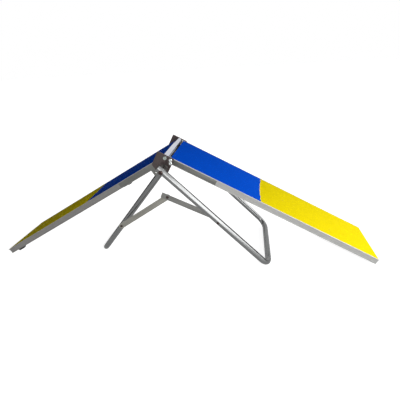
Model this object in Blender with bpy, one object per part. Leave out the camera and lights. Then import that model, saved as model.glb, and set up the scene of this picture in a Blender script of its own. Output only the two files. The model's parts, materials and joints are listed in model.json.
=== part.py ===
"""Folding dog agility seesaw: a hinged two-part plank on a folding stand of two U-shaped tubes.

Metres, +Z up, X along the plank, -Y the side with the folding brace.
The origin is on the ground under the axle, at mid width.
"""

from math import asin, atan2, cos, hypot, pi, radians, sin, sqrt, tan

import bmesh
import bpy
from mathutils import Vector

# Plank, measured from the axle and from the walking surface
# The colours' borders run slightly askew: first the near edge, then the far one.
half_length = 1.500
plank_width = 0.340
plank_slope = radians(29.4)
axle_depth = 0.014
hinge_room = 0.00435
rail_depth = 0.040
rail_width = 0.020
rail_flange = 0.003
rail_web = 0.0028
rail_edge = 0.004
recess_depth = 0.0033
lip_width = 0.006
mat_thickness = 0.0025
deck_thickness = 0.002
right_mat_inset = 0.012
left_mat_inset = 0.0005
right_colour_border = (0.643, 0.658)
left_colour_border = (0.667, 0.722)
mat_end_margin = 0.003

# Cross members under the deck, by their distance from the axle
cross_depth = 0.012
inner_cross_width = 0.018
inner_cross_inset = 0.003
mid_cross_width = 0.030
mid_cross_places = (0.500, 1.000)
end_angle_width = 0.025
end_angle_wall = 0.003

# Reinforcement straps in the rails' outer recess
strap_thickness = 0.0027
right_strap_inset = 0.0005
right_strap_end = 0.343
left_strap_end = 0.378
strap_eye_radius = 0.0095
# The left ones have a bracket below the rail, with a hole: along the plank, and depth
bracket_start = 0.092
bracket_end = 0.131
bracket_depth = 0.0805
bracket_hole = (0.112, 0.065)
bracket_hole_radius = 0.004

# Rubber pads and lugs under the left rails
pad_from_end = 0.074
pad_length = 0.062
pad_height = 0.0105
pad_slant = 0.010
lug_start = 0.300
lug_deep_length = 0.022
lug_length = 0.060
lug_deep_height = 0.005
lug_low_height = 0.002
under_rail_inset = 0.001

# Side plates that carry the hinge and the pivot
plate_thickness = 0.005
plate_left = 0.057
plate_edge_margin = 0.0005
plate_rise = 0.004
plate_sides_below_pivot = 0.0152
plate_below_pivot = 0.0602
plate_corner_radius = 0.005
plate_shoulder_radius = 0.010
plate_nose_radius = 0.032
pivot_along = 0.0205
pivot_below_rail = 0.0348

# Plate bolts: distance from the rail's end, and depth
lower_bolt_inset = 0.024
lower_bolt_depth = 0.032
upper_bolt_inset = 0.0165
upper_bolt_depth = 0.013
plate_bolt_radius = 0.0025
plate_washer_radius = 0.010
plate_washer_thickness = 0.002
plate_head_radius = 0.0085
plate_head_height = 0.004
# Small rivet, by its distance along and up from the pivot
rivet_along = 0.0125
rivet_up = 0.0088
rivet_radius = 0.002
rivet_head_radius = 0.0042
rivet_head_height = 0.002

# Axle
axle_radius = 0.018
axle_bolt_radius = 0.005
axle_bolt_reach = 0.025
axle_hole_spare = 0.002
axle_head_radius = 0.0125
axle_head_height = 0.008

# Stand tubes
tube_radius = 0.020
tube_wall = 0.0018
inner_leg_length = 0.880
outer_leg_length = 0.921
inner_tube_room = 0.0015
outer_tube_room = 0.0405
inner_overhang = 0.026
outer_overhang = 0.034
bend_radius = 0.070
plug_cap = 0.003
plug_chamfer = 0.001
inner_plug_stem = 0.008
outer_plug_stem = 0.012

# Pivot between plank and stand
pivot_bolt_radius = 0.005
pivot_head_radius = 0.014
pivot_head_height = 0.008
pivot_nut_radius = 0.0105
pivot_nut_height = 0.008
pivot_thread_end = 0.003
spacer_radius = 0.011
bush_radius = 0.012
pivot_flange_radius = 0.0205
pivot_flange_thickness = 0.002

# Folding brace on the near side
brace_pin_left = 0.535
brace_pin_right = 0.466
brace_bar_left = 0.4106
brace_bar_right = 0.3491
bar_width = 0.036
bar_thickness = 0.004
bar_square_overhang = 0.040
bar_reach_past_leg = 0.0065
brace_pin_radius = 0.004
brace_head_radius = 0.008
brace_head_height = 0.006
brace_low_head = 0.0032
brace_nut_radius = 0.0085
brace_nut_height = 0.006
brace_washer_radius = 0.0065
brace_washer_thickness = 0.0034
brace_spacer_radius = 0.008
brace_bar_gap = 0.0005
brace_thread_end = 0.002
knee_half_gap = 0.0002
knee_head_radius = 0.009
knee_bolt_head = 0.0032
knee_nut_head = 0.0042

# Clearance between pieces that touch, how far a cut reaches past its piece, and the sides of round pieces
gap = 0.0003
overshoot = 0.001
tube_sides = 24
bolt_sides = 20
bend_steps = 8

# Colours as red, green, blue, then metallic and roughness
mill_aluminium = ((0.62, 0.62, 0.62), 1.0, 0.38)
tube_aluminium = ((0.60, 0.61, 0.62), 1.0, 0.30)
dark_aluminium = ((0.20, 0.19, 0.185), 0.8, 0.45)
plate_steel = ((0.14, 0.115, 0.11), 0.7, 0.50)
bright_steel = ((0.70, 0.71, 0.70), 1.0, 0.22)
bolt_steel = ((0.18, 0.13, 0.11), 0.9, 0.35)
bar_steel = ((0.32, 0.32, 0.30), 0.9, 0.42)
blue_rubber = ((0.0, 0.085, 0.64), 0.0, 0.75)
yellow_rubber = ((0.95, 0.82, 0.0), 0.0, 0.75)
black_rubber = ((0.015, 0.015, 0.016), 0.0, 0.80)
black_plastic = ((0.03, 0.03, 0.03), 0.0, 0.50)

# Widths across the object, from mid width outwards
rail_outer_y = plank_width / 2
rail_inner_y = rail_outer_y - rail_width
recess_y = rail_outer_y - recess_depth
web_inner_y = recess_y - rail_web
strap_inner_y = recess_y + gap
strap_outer_y = strap_inner_y + strap_thickness
plate_inner_y = rail_outer_y + gap
plate_outer_y = plate_inner_y + plate_thickness
plate_head_y = plate_outer_y + gap
flange_outer_y = plate_head_y + pivot_flange_thickness
outer_tube_inside = rail_outer_y + outer_tube_room
outer_tube_y = outer_tube_inside + tube_radius
outer_tube_outside = outer_tube_y + tube_radius
inner_tube_outside = rail_inner_y - inner_tube_room
inner_tube_y = inner_tube_outside - tube_radius
inner_tube_inside = inner_tube_y - tube_radius
right_bar_outside = outer_tube_inside - gap - brace_washer_thickness - gap
right_bar_inside = right_bar_outside - bar_thickness
left_bar_outside = right_bar_inside - brace_bar_gap
left_bar_inside = left_bar_outside - bar_thickness

# Depths below the walking surface
deck_top = mat_thickness + gap
deck_bottom = deck_top + deck_thickness
cross_top = deck_bottom + gap
rail_floor = rail_depth - rail_flange

pivot_depth = rail_depth + pivot_below_rail

# Distances from the axle along the plank
rail_start = (rail_depth - axle_depth) * tan(plank_slope) + hinge_room
right_mat_start = rail_start + right_mat_inset
left_mat_start = rail_start + left_mat_inset
right_strap_start = rail_start + right_strap_inset
pad_start = half_length - pad_from_end - pad_length
plate_bolt_places = (
    (rail_start + lower_bolt_inset, lower_bolt_depth),
    (rail_start + upper_bolt_inset, upper_bolt_depth),
)
plate_right = rail_start + lower_bolt_inset + plate_washer_radius + plate_edge_margin
rivet_place = (pivot_along + rivet_along, pivot_depth - rivet_up)

# Places of the axle and the pivot in the world, and the slopes of the legs
axle_height = half_length * sin(plank_slope) + (rail_depth - axle_depth) * cos(plank_slope)
pivot_drop = pivot_depth - axle_depth
pivot_x = pivot_along * cos(plank_slope) - pivot_drop * sin(plank_slope)
pivot_z = axle_height - pivot_along * sin(plank_slope) - pivot_drop * cos(plank_slope)
inner_slope = asin((pivot_z - tube_radius) / inner_leg_length)
outer_slope = asin((pivot_z - tube_radius) / outer_leg_length)


for item in list(bpy.data.objects):
    bpy.data.objects.remove(item, do_unlink=True)


def empty(name, parent, place, turn):
    """A joint axis or frame: an empty, turned about Y."""
    item = bpy.data.objects.new(name, None)
    bpy.context.scene.collection.objects.link(item)
    item.parent = parent
    item.location = place
    item.rotation_euler = (0, turn, 0)
    item.empty_display_size = 0.05
    return item


def finish(name, bm, parent, look):
    """Turn a mesh under construction into a named piece with its own material."""
    bmesh.ops.recalc_face_normals(bm, faces=bm.faces)
    mesh = bpy.data.meshes.new(name)
    bm.to_mesh(mesh)
    bm.free()
    mesh.shade_smooth()
    mesh.set_sharp_from_angle(angle=radians(35))
    colour, metallic, roughness = look
    material = bpy.data.materials.new(name)
    material.use_nodes = True
    shader = material.node_tree.nodes["Principled BSDF"]
    shader.inputs["Base Color"].default_value = (*colour, 1)
    shader.inputs["Metallic"].default_value = metallic
    shader.inputs["Roughness"].default_value = roughness
    mesh.materials.append(material)
    piece = bpy.data.objects.new(name, mesh)
    bpy.context.scene.collection.objects.link(piece)
    piece.parent = parent
    return piece


def prism(bm, outline, sweep):
    """Extrude a flat outline along a straight sweep into a closed solid."""
    face = bm.faces.new([bm.verts.new(point) for point in outline])
    moved = bmesh.ops.extrude_face_region(bm, geom=[face])["geom"]
    verts = [item for item in moved if isinstance(item, bmesh.types.BMVert)]
    bmesh.ops.translate(bm, verts=verts, vec=Vector(sweep))


def slab(name, outline, y_from, y_to, parent, look):
    """A plate with an outline in X and Z, between two widths."""
    bm = bmesh.new()
    prism(bm, [(x, y_from, z) for x, z in outline], (0, y_to - y_from, 0))
    return finish(name, bm, parent, look)


def block(name, x, y, z, parent, look):
    """A rectangular piece from its three ranges."""
    outline = [(x[0], z[0]), (x[1], z[0]), (x[1], z[1]), (x[0], z[1])]
    return slab(name, outline, y[0], y[1], parent, look)


def spin_profile(bm, profile, x, z, sides):
    """Turn a profile of radius and Y about a line along Y. Radius 0 lies on the line."""
    verts = [bm.verts.new((x + radius, y, z)) for radius, y in profile]
    edges = [bm.edges.new(pair) for pair in zip(verts, verts[1:])]
    if profile[0][0] > 0:
        edges.append(bm.edges.new((verts[-1], verts[0])))
    bmesh.ops.spin(
        bm, geom=verts + edges, cent=(x, 0, z), axis=(0, 1, 0),
        angle=2 * pi, steps=sides, use_merge=True,
    )
    bmesh.ops.remove_doubles(bm, verts=bm.verts, dist=1e-6)


def turned(name, profile, x, z, parent, look, sides=bolt_sides):
    """A turned piece such as a bolt, a bush or a spacer."""
    bm = bmesh.new()
    spin_profile(bm, profile, x, z, sides)
    return finish(name, bm, parent, look)


def ring(name, inner, outer, y_from, y_to, x, z, parent, look):
    """A plain ring: spacer, bush or washer."""
    profile = [(inner, y_from), (outer, y_from), (outer, y_to), (inner, y_to)]
    return turned(name, profile, x, z, parent, look)


def drill(piece, holes, y_from, y_to):
    """Cut round holes through a piece along Y. Each hole is its x, its z and its radius."""
    bm = bmesh.new()
    for x, z, radius in holes:
        low = min(y_from, y_to)
        high = max(y_from, y_to)
        profile = [(0, low), (radius, low), (radius, high), (0, high)]
        spin_profile(bm, profile, x, z, bolt_sides)
    cut_away(piece, bm)


def cut_away(piece, bm):
    """Cut a mesh under construction out of a piece."""
    bmesh.ops.recalc_face_normals(bm, faces=bm.faces)
    mesh = bpy.data.meshes.new(piece.name + "_cut")
    bm.to_mesh(mesh)
    bm.free()
    cutter = bpy.data.objects.new(piece.name + "_cut", mesh)
    bpy.context.scene.collection.objects.link(cutter)
    cutter.parent = piece.parent
    cutter.hide_render = True
    cutter.display_type = "WIRE"
    cut = piece.modifiers.new("cut", "BOOLEAN")
    cut.operation = "DIFFERENCE"
    cut.solver = "EXACT"
    cut.object = cutter


def nut(name, hole, radius, y_from, y_to, x, z, parent, look):
    """A six-sided nut with a round hole."""
    profile = [(0, y_from), (radius, y_from), (radius, y_to), (0, y_to)]
    piece = turned(name, profile, x, z, parent, look, 6)
    drill(piece, [(x, z, hole)], min(y_from, y_to) - overshoot, max(y_from, y_to) + overshoot)


def hull_outline(circles):
    """The taut outline round a set of circles, each an x, a z and a radius."""
    points = []
    for x, z, radius in circles:
        for step in range(32):
            angle = 2 * pi * step / 32
            points.append((round(x + radius * cos(angle), 6), round(z + radius * sin(angle), 6)))
    points = sorted(set(points))

    def chain(ordered):
        taut = []
        for point in ordered:
            while len(taut) > 1:
                ax, az = taut[-2]
                bx, bz = taut[-1]
                if (bx - ax) * (point[1] - az) - (bz - az) * (point[0] - ax) > 1e-9:
                    break
                taut.pop()
            taut.append(point)
        return taut[:-1]

    return chain(points) + chain(points[::-1])


def headed(head_radius, head_height, shank_radius, y_seat, y_end, side):
    """Profile of a bolt: a low domed head outside y_seat and a shank in to y_end."""
    head_top = y_seat + side * head_height
    head_shoulder = y_seat + side * head_height * 0.6
    return [
        (0, head_top),
        (head_radius * 0.7, head_top),
        (head_radius, head_shoulder),
        (head_radius, y_seat),
        (shank_radius, y_seat),
        (shank_radius, y_end),
        (0, y_end),
    ]


# Joint axes and frames
# Each frame is turned about Y so that its X axis runs along its piece.
inner_leg = empty("inner_leg_axis", None, (pivot_x, 0, pivot_z), -inner_slope)
outer_leg = empty("outer_leg_axis", None, (pivot_x, 0, pivot_z), outer_slope)
plank_tilt = empty("plank_tilt_axis", None, (pivot_x, 0, pivot_z), plank_slope)
right_half = empty("right_half_frame", plank_tilt, (-pivot_along, 0, pivot_drop), 0)
left_half = empty("left_fold_axis", right_half, (0, 0, 0), -2 * plank_slope)


# U-shaped stand tubes
# Each starts at its open top end, runs down one side, round the base and up the other side.
def u_tube(name, direction, length, centre_y, overhang, parent):
    bm = bmesh.new()
    start = -direction * (overhang - plug_cap)
    rings = []
    for radius in (tube_radius, tube_radius - tube_wall):
        verts = []
        for step in range(tube_sides):
            angle = 2 * pi * step / tube_sides
            verts.append(bm.verts.new((start, -centre_y + radius * cos(angle), radius * sin(angle))))
        rings.append([bm.edges.new((a, b)) for a, b in zip(verts, verts[1:] + verts[:1])])
    end = bmesh.ops.bridge_loops(bm, edges=rings[0] + rings[1])["faces"]

    def with_edges(faces):
        return faces + list({edge for face in faces for edge in face.edges})

    def run(faces, sweep):
        moved = bmesh.ops.extrude_face_region(bm, geom=with_edges(faces))["geom"]
        verts = [item for item in moved if isinstance(item, bmesh.types.BMVert)]
        bmesh.ops.translate(bm, verts=verts, vec=Vector(sweep))
        return [item for item in moved if isinstance(item, bmesh.types.BMFace)]

    def bend(faces, centre):
        moved = bmesh.ops.spin(
            bm, geom=with_edges(faces), cent=centre, axis=(0, 0, direction),
            angle=pi / 2, steps=bend_steps,
        )["geom_last"]
        return [item for item in moved if isinstance(item, bmesh.types.BMFace)]

    straight = length - bend_radius
    end = run(end, (direction * straight - start, 0, 0))
    end = bend(end, (direction * straight, -centre_y + bend_radius, 0))
    end = run(end, (0, 2 * (centre_y - bend_radius), 0))
    end = bend(end, (direction * straight, centre_y - bend_radius, 0))
    run(end, (start - direction * straight, 0, 0))
    return finish(name, bm, parent, tube_aluminium)


inner_tube = u_tube(
    "inner_leg_tube", -1, inner_leg_length, inner_tube_y, inner_overhang, inner_leg
)
outer_tube = u_tube(
    "outer_leg_tube", 1, outer_leg_length, outer_tube_y, outer_overhang, outer_leg
)

pivot_hole = pivot_bolt_radius + gap
pin_hole = brace_pin_radius + gap
drill(
    inner_tube,
    [(0, 0, pivot_hole)],
    -inner_tube_outside - overshoot, inner_tube_outside + overshoot,
)
drill(
    outer_tube,
    [(0, 0, pivot_hole)],
    -outer_tube_outside - overshoot, outer_tube_outside + overshoot,
)
# The brace pins pass only through the near side of each U.
brace_cut_inner = (-brace_pin_left, 0, pin_hole)
brace_cut_outer = (brace_pin_right, 0, pin_hole)


def drill_more(piece, hole, y_from, y_to):
    """A second set of holes in a piece that has one already."""
    holder = piece.modifiers[-1].object.data
    bm = bmesh.new()
    bm.from_mesh(holder)
    x, z, radius = hole
    profile = [(0, y_from), (radius, y_from), (radius, y_to), (0, y_to)]
    spin_profile(bm, profile, x, z, bolt_sides)
    bmesh.ops.recalc_face_normals(bm, faces=bm.faces)
    bm.to_mesh(holder)
    bm.free()


drill_more(inner_tube, brace_cut_inner, -inner_tube_outside - overshoot, -inner_tube_inside + overshoot)
drill_more(outer_tube, brace_cut_outer, -outer_tube_outside - overshoot, -outer_tube_inside + overshoot)


# Plugs in the open top ends of the tubes
# A cap as wide as the tube, and a stem that fits in its bore.
def end_plug(name, direction, centre_y, overhang, stem, parent):
    bm = bmesh.new()
    bore = tube_radius - tube_wall - gap
    cap_end = -direction * overhang
    cap_seat = cap_end + direction * (plug_cap - gap)
    stem_end = cap_seat + direction * stem
    profile = [(0, cap_end), (tube_radius - plug_chamfer, cap_end),
               (tube_radius, cap_end + direction * plug_chamfer),
               (tube_radius, cap_seat), (bore, cap_seat), (bore, stem_end), (0, stem_end)]
    verts = [bm.verts.new((x, centre_y + radius, 0)) for radius, x in profile]
    edges = [bm.edges.new(pair) for pair in zip(verts, verts[1:])]
    bmesh.ops.spin(
        bm, geom=verts + edges, cent=(0, centre_y, 0), axis=(1, 0, 0),
        angle=2 * pi, steps=tube_sides, use_merge=True,
    )
    bmesh.ops.remove_doubles(bm, verts=bm.verts, dist=1e-6)
    return finish(name, bm, parent, black_plastic)


for side_name, side in (("near", -1), ("far", 1)):
    end_plug(
        "inner_end_plug_" + side_name, -1, side * inner_tube_y,
        inner_overhang, inner_plug_stem, inner_leg,
    )
    end_plug(
        "outer_end_plug_" + side_name, 1, side * outer_tube_y,
        outer_overhang, outer_plug_stem, outer_leg,
    )


# Pivot bolts
# Each goes from outside through the outer tube, a spacer, the side plate, a bush and the inner tube.
for side_name, side in (("near", -1), ("far", 1)):
    seat = side * (outer_tube_outside + gap)
    nut_outside = side * (inner_tube_inside - gap)
    nut_inside = nut_outside - side * pivot_nut_height
    thread_end = nut_inside - side * pivot_thread_end
    turned(
        "pivot_bolt_" + side_name,
        headed(pivot_head_radius, pivot_head_height, pivot_bolt_radius, seat, thread_end, side),
        0, 0, inner_leg, bolt_steel,
    )
    nut(
        "pivot_nut_" + side_name, pivot_hole, pivot_nut_radius,
        nut_outside, nut_inside, 0, 0, inner_leg, bright_steel,
    )
    ring(
        "pivot_spacer_" + side_name, pivot_hole, spacer_radius,
        side * (flange_outer_y + gap), side * (outer_tube_inside - gap),
        0, 0, inner_leg, dark_aluminium,
    )
    ring(
        "pivot_bush_" + side_name, pivot_hole, bush_radius,
        side * (inner_tube_outside + gap), side * (plate_inner_y - gap),
        0, 0, inner_leg, black_plastic,
    )


# Side plates
# Fixed to the right half, they hold the axle above and the stand's pivot below.
def plate_z(depth):
    """Height in the plank's frame of a depth below the walking surface."""
    return axle_depth - depth


corner_z = plate_z(plate_corner_radius - plate_rise)
shoulder_z = plate_z(pivot_depth + plate_sides_below_pivot)
plate_outline = hull_outline([
    (-plate_left + plate_corner_radius, corner_z, plate_corner_radius),
    (plate_right - plate_corner_radius, corner_z, plate_corner_radius),
    (-plate_left + plate_shoulder_radius, shoulder_z, plate_shoulder_radius),
    (plate_right - plate_shoulder_radius, shoulder_z, plate_shoulder_radius),
    (pivot_along, plate_z(pivot_depth + plate_below_pivot - plate_nose_radius), plate_nose_radius),
])
bolt_hole = plate_bolt_radius + gap
bolt_cuts = [(along, plate_z(depth), bolt_hole) for along, depth in plate_bolt_places]
axle_cut = (0, 0, axle_bolt_radius + gap)
rivet_cut = (rivet_place[0], plate_z(rivet_place[1]), rivet_radius + gap)
pivot_cut = (pivot_along, plate_z(pivot_depth), pivot_hole)

for side_name, side in (("near", -1), ("far", 1)):
    plate = slab(
        "side_plate_" + side_name, plate_outline,
        side * plate_inner_y, side * plate_outer_y, right_half, plate_steel,
    )
    drill(
        plate, [axle_cut, rivet_cut, pivot_cut] + bolt_cuts,
        side * (plate_inner_y - overshoot), side * (plate_outer_y + overshoot),
    )

    # Round flange that stiffens the pivot hole, with the rivet that holds it to the plate
    flange_bm = bmesh.new()
    flange_seat = side * plate_head_y
    flange_face = side * flange_outer_y
    spin_profile(
        flange_bm,
        [(0, flange_seat), (pivot_flange_radius, flange_seat),
         (pivot_flange_radius, flange_face), (0, flange_face)],
        pivot_along, plate_z(pivot_depth), 32,
    )
    flange = finish("pivot_flange_" + side_name, flange_bm, right_half, dark_aluminium)
    rivet_bm = bmesh.new()
    spin_profile(
        rivet_bm,
        headed(rivet_head_radius, pivot_flange_thickness / 2 + rivet_head_height, rivet_radius,
               side * (plate_head_y + pivot_flange_thickness / 2), side * plate_inner_y, side),
        rivet_place[0], plate_z(rivet_place[1]), bolt_sides,
    )
    bmesh.ops.recalc_face_normals(rivet_bm, faces=rivet_bm.faces)
    rivet_mesh = bpy.data.meshes.new("rivet_" + side_name)
    rivet_bm.to_mesh(rivet_mesh)
    rivet_bm.free()
    rivet = bpy.data.objects.new("rivet_" + side_name, rivet_mesh)
    bpy.context.scene.collection.objects.link(rivet)
    rivet.parent = right_half
    rivet.hide_render = True
    rivet.display_type = "WIRE"
    joined = flange.modifiers.new("rivet", "BOOLEAN")
    joined.operation = "UNION"
    joined.solver = "EXACT"
    joined.object = rivet
    drill(
        flange, [pivot_cut],
        side * (plate_head_y - overshoot), side * (flange_outer_y + rivet_head_height + overshoot),
    )

    # Bolts with washers that hold the plate, the strap and the rail together
    for place_name, (along, depth) in zip(("lower", "upper"), plate_bolt_places):
        seat = side * plate_head_y
        washer_top = seat + side * plate_washer_thickness
        head_top = washer_top + side * plate_head_height
        turned(
            "plate_bolt_" + place_name + "_" + side_name,
            [(0, head_top), (plate_head_radius * 0.75, head_top),
             (plate_head_radius, head_top - side * plate_head_height * 0.4),
             (plate_head_radius, washer_top), (plate_washer_radius, washer_top),
             (plate_washer_radius, seat), (plate_bolt_radius, seat),
             (plate_bolt_radius, side * web_inner_y), (0, side * web_inner_y)],
            along, plate_z(depth), right_half, bright_steel,
        )

    # Axle bolt through the plate and the left strap's eye into the end of the axle
    turned(
        "axle_bolt_" + side_name,
        headed(axle_head_radius, axle_head_height, axle_bolt_radius,
               side * plate_head_y, side * (strap_inner_y - gap - axle_bolt_reach), side),
        0, 0, right_half, bright_steel,
    )


# Axle
# A round bar between the straps' eyes, with a blind hole in each end for its bolt.
axle_end = strap_inner_y - gap
blind_end = axle_end - axle_bolt_reach - axle_hole_spare
axle_hole = axle_bolt_radius + gap
turned(
    "axle_bar",
    [(0, -blind_end), (axle_hole, -blind_end), (axle_hole, -axle_end), (axle_radius, -axle_end),
     (axle_radius, axle_end), (axle_hole, axle_end), (axle_hole, blind_end), (0, blind_end)],
    0, 0, right_half, bright_steel, tube_sides,
)


# Plank halves
# Both halves have the same make-up. Outwards is +X on the right half and -X on the left.
def half_plank(name, out, parent, mat_start, border):
    def z(depth):
        return axle_depth - depth

    length = half_length - rail_start
    for side_name, side in (("near", -1), ("far", 1)):
        section = [
            (rail_outer_y, 0), (rail_outer_y, rail_edge),
            (recess_y, rail_edge), (recess_y, rail_depth - rail_edge),
            (rail_outer_y, rail_depth - rail_edge), (rail_outer_y, rail_depth),
            (rail_inner_y, rail_depth), (rail_inner_y, rail_floor),
            (web_inner_y, rail_floor), (web_inner_y, deck_bottom),
            (rail_inner_y, deck_bottom), (rail_inner_y, deck_top),
            (rail_outer_y - lip_width, deck_top), (rail_outer_y - lip_width, 0),
        ]
        bm = bmesh.new()
        prism(
            bm, [(out * rail_start, side * y, z(depth)) for y, depth in section],
            (out * length, 0, 0),
        )
        rail = finish(name + "_rail_" + side_name, bm, parent, mill_aluminium)
        if out > 0:
            drill(rail, bolt_cuts, side * (web_inner_y - overshoot), side * (recess_y + overshoot))
            continue
        # The lower lip is milled off where the left strap's bracket hangs down.
        lip_bm = bmesh.new()
        lip_y = (recess_y, rail_outer_y + overshoot)
        lip_depth = (rail_depth - rail_edge - overshoot, rail_depth + overshoot)
        corners = [
            (lip_y[0], lip_depth[0]), (lip_y[1], lip_depth[0]),
            (lip_y[1], lip_depth[1]), (lip_y[0], lip_depth[1]),
        ]
        prism(
            lip_bm, [(-bracket_start + gap, side * y, z(depth)) for y, depth in corners],
            (bracket_start - bracket_end - 2 * gap, 0, 0),
        )
        cut_away(rail, lip_bm)

    block(
        name + "_deck", (out * mat_start, out * half_length),
        (-rail_inner_y + gap, rail_inner_y - gap), (z(deck_top), z(deck_bottom)),
        parent, mill_aluminium,
    )

    mat_y = rail_outer_y - lip_width - gap
    mat_end = half_length - mat_end_margin
    for colour, look, start, stop in (
        ("blue", blue_rubber, (mat_start, mat_start), [along - gap / 2 for along in border]),
        ("yellow", yellow_rubber, [along + gap / 2 for along in border], (mat_end, mat_end)),
    ):
        corners = [(start[0], -mat_y), (stop[0], -mat_y), (stop[1], mat_y), (start[1], mat_y)]
        bm = bmesh.new()
        prism(bm, [(out * along, y, z(0)) for along, y in corners], (0, 0, -mat_thickness))
        finish(name + "_mat_" + colour, bm, parent, look)

    cross_y = web_inner_y - gap
    cross_z = (z(cross_top), z(cross_top + cross_depth))
    cross_start = mat_start + inner_cross_inset
    inner_cross = (out * cross_start, out * (cross_start + inner_cross_width))
    block(
        name + "_crossbar_inner", inner_cross, (-cross_y, cross_y), cross_z,
        parent, mill_aluminium,
    )
    for number, place in enumerate(mid_cross_places, 1):
        block(
            name + "_crossbar_%d" % number,
            (out * (place - mid_cross_width / 2), out * (place + mid_cross_width / 2)),
            (-cross_y, cross_y), cross_z, parent, mill_aluminium,
        )

    angle_out = half_length - gap
    angle_in = angle_out - end_angle_width
    slab(
        name + "_crossbar_end",
        [(out * angle_in, z(cross_top)), (out * angle_out, z(cross_top)),
         (out * angle_out, z(rail_floor - gap)),
         (out * (angle_out - end_angle_wall), z(rail_floor - gap)),
         (out * (angle_out - end_angle_wall), z(cross_top + end_angle_wall)),
         (out * angle_in, z(cross_top + end_angle_wall))],
        -cross_y, cross_y, parent, mill_aluminium,
    )


half_plank("right", 1, right_half, right_mat_start, right_colour_border)
half_plank("left", -1, left_half, left_mat_start, left_colour_border)


# Reinforcement straps
# The right ones are clamped under the side plates, the left ones end in an eye on the axle bolt.
# Each left one has a bracket that hangs below the rail.
strap_top = plate_z(rail_edge + gap)
strap_bottom = plate_z(rail_depth - rail_edge - gap)
bracket_bottom = plate_z(bracket_depth)
bracket_cut = (-bracket_hole[0], plate_z(bracket_hole[1]), bracket_hole_radius)
for side_name, side in (("near", -1), ("far", 1)):
    right_strap = block(
        "right_strap_" + side_name, (right_strap_start, right_strap_end),
        (side * strap_inner_y, side * strap_outer_y), (strap_bottom, strap_top),
        right_half, dark_aluminium,
    )
    drill(
        right_strap, bolt_cuts,
        side * (strap_inner_y - overshoot), side * (strap_outer_y + overshoot),
    )

    eye = []
    for step in range(13):
        angle = -pi / 2 + pi * step / 12
        eye.append((strap_eye_radius * cos(angle), strap_eye_radius * sin(angle)))
    left_strap = slab(
        "left_strap_" + side_name,
        eye + [(-rail_start, strap_eye_radius), (-rail_start, strap_top),
               (-left_strap_end, strap_top), (-left_strap_end, strap_bottom),
               (-bracket_end, strap_bottom), (-bracket_end, bracket_bottom),
               (-bracket_start, bracket_bottom), (-bracket_start, strap_bottom),
               (-rail_start, strap_bottom), (-rail_start, -strap_eye_radius)],
        side * strap_inner_y, side * strap_outer_y, left_half, dark_aluminium,
    )
    drill(
        left_strap, [axle_cut, bracket_cut],
        side * (strap_inner_y - overshoot), side * (strap_outer_y + overshoot),
    )


# Rubber pads and lugs under the left rails
under_top = plate_z(rail_depth + gap)
under_y = (rail_inner_y + under_rail_inset, rail_outer_y - under_rail_inset)
for side_name, side in (("near", -1), ("far", 1)):
    pad_end = pad_start + pad_length
    pad_bottom = under_top - pad_height
    slab(
        "left_pad_" + side_name,
        [(-pad_start, under_top), (-pad_end, under_top),
         (-pad_end, pad_bottom), (-pad_start - pad_slant, pad_bottom)],
        side * under_y[0], side * under_y[1], left_half, black_rubber,
    )
    lug_step = lug_start + lug_deep_length
    lug_end = lug_start + lug_length
    slab(
        "left_lug_" + side_name,
        [(-lug_start, under_top), (-lug_end, under_top),
         (-lug_end, under_top - lug_low_height), (-lug_step, under_top - lug_low_height),
         (-lug_step, under_top - lug_deep_height), (-lug_start, under_top - lug_deep_height)],
        side * under_y[0], side * under_y[1], left_half, dark_aluminium,
    )


# Folding brace
# Two flat bars on the near side, from a pin on each leg up to a knee.
left_pin = (pivot_x - brace_pin_left * cos(inner_slope), pivot_z - brace_pin_left * sin(inner_slope))
right_pin = (
    pivot_x + brace_pin_right * cos(outer_slope),
    pivot_z - brace_pin_right * sin(outer_slope),
)
span_x = right_pin[0] - left_pin[0]
span_z = right_pin[1] - left_pin[1]
span = hypot(span_x, span_z)
foot_of_knee = (brace_bar_left ** 2 - brace_bar_right ** 2 + span ** 2) / (2 * span)
knee_rise = sqrt(brace_bar_left ** 2 - foot_of_knee ** 2)
knee_x = left_pin[0] + (foot_of_knee * span_x - knee_rise * span_z) / span
knee_z = left_pin[1] + (foot_of_knee * span_z + knee_rise * span_x) / span
left_bar_turn = atan2(left_pin[1] - knee_z, knee_x - left_pin[0])
right_bar_turn = atan2(knee_z - right_pin[1], right_pin[0] - knee_x)

left_bar = empty(
    "brace_left_axis", inner_leg, (-brace_pin_left, 0, 0), left_bar_turn + inner_slope
)
right_bar = empty(
    "brace_right_axis", outer_leg, (brace_pin_right, 0, 0), right_bar_turn - outer_slope
)


bar_half = bar_width / 2


def half_round(x, outward, turn=pi):
    """Points round the end of a bar, from its lower edge through a turn, at most to its upper edge."""
    points = []
    for step in range(13):
        angle = -pi / 2 + turn * step / 12
        points.append((x + outward * bar_half * cos(angle), bar_half * sin(angle)))
    return points


left_bar_piece = slab(
    "brace_bar_left",
    half_round(0, -1) + half_round(brace_bar_left, 1)[::-1],
    -left_bar_outside, -left_bar_inside, left_bar, bar_steel,
)
drill(
    left_bar_piece, [(0, 0, pin_hole), (brace_bar_left, 0, pin_hole)],
    -left_bar_outside - overshoot, -left_bar_inside + overshoot,
)

# The right bar is square beyond the knee. Its pin end is round below and cut off along the leg,
# so that it stays hidden behind the tube.
leg_turn = outer_slope - right_bar_turn
cut_from = asin(bar_reach_past_leg / bar_half) - leg_turn
cut_to = (bar_reach_past_leg - bar_half * cos(leg_turn)) / sin(leg_turn)
square_end = -brace_bar_right - bar_square_overhang
right_bar_piece = slab(
    "brace_bar_right",
    half_round(0, 1, pi / 2 + cut_from)
    + [(cut_to, bar_half), (square_end, bar_half), (square_end, -bar_half)],
    -right_bar_outside, -right_bar_inside, right_bar, bar_steel,
)
drill(
    right_bar_piece, [(0, 0, pin_hole), (-brace_bar_right, 0, pin_hole)],
    -right_bar_outside - overshoot, -right_bar_inside + overshoot,
)

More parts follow.
